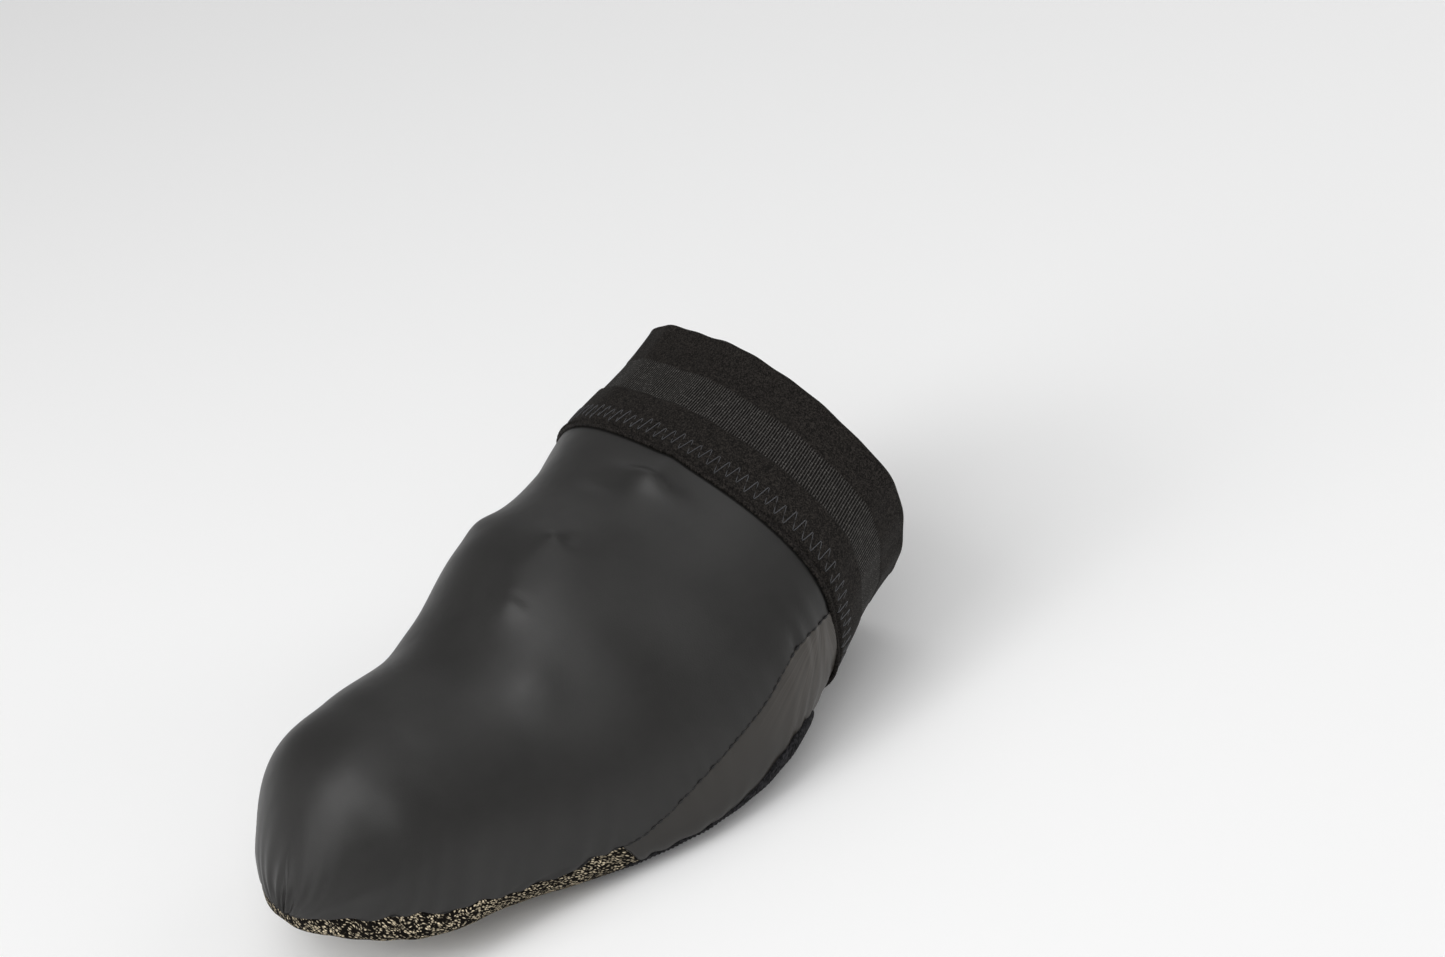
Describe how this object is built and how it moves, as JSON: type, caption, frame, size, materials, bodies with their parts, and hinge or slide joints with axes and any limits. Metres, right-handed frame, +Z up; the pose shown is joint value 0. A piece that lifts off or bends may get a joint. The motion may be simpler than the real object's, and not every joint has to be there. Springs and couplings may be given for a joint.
{
  "type": "cycling toe cover",
  "caption": "Black fabric toe cover for a road cycling shoe, worn form, with an elastic cuff, a knit toe guard and an open underside for the cleat.",
  "frame": {"origin": "under the middle of the cover's bounding box, on the floor it stands on", "axes": "+Z up; the toe points along -Y; +X is the foot's inner side"},
  "size_m": [0.1046, 0.1728, 0.0785],
  "materials": {
    "coated_fabric": "satin",
    "side_fabric": "satin",
    "guard_knit": "matte",
    "binding_elastic": "matte",
    "cuff_elastic": "matte"
  },
  "bodies": {
    "root": {"upper": "coated_fabric", "under_panel": "side_fabric", "toe_guard": "guard_knit", "opening_binding": "binding_elastic", "cuff": "cuff_elastic"}
  },
  "joints": []
}
